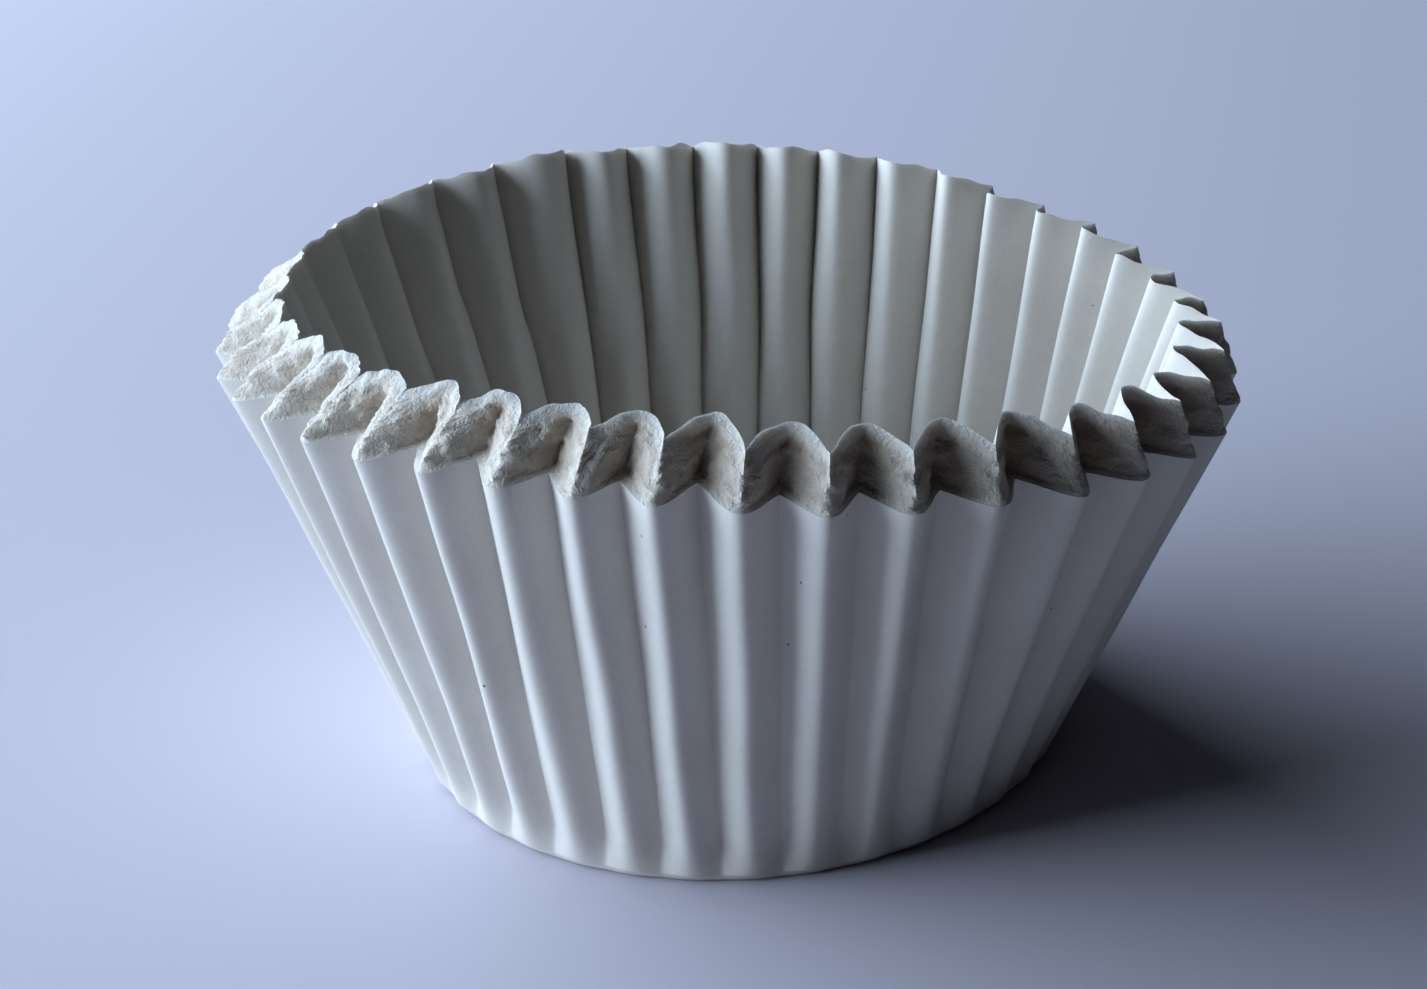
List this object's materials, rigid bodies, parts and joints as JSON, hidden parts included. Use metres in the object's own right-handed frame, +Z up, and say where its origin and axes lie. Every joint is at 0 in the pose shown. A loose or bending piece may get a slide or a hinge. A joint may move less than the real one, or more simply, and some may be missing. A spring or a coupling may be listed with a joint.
{
  "type": "paper candy cup",
  "caption": "Small round fluted white paper cup for a sweet, flared, with a flat floor and a thick rim of stacked cut paper edges.",
  "frame": {"origin": "on the flat foot, under the middle of the cup's overall box", "axes": "+Z up out of the mouth; the pictured side faces -Y"},
  "size_m": [0.0514, 0.0486, 0.0255],
  "materials": {
    "greaseproof_paper": "matte white greaseproof paper with faint fibres, and rough cut edges at the rim"
  },
  "bodies": {
    "root": {"fluted_cup": "greaseproof_paper"}
  },
  "joints": []
}
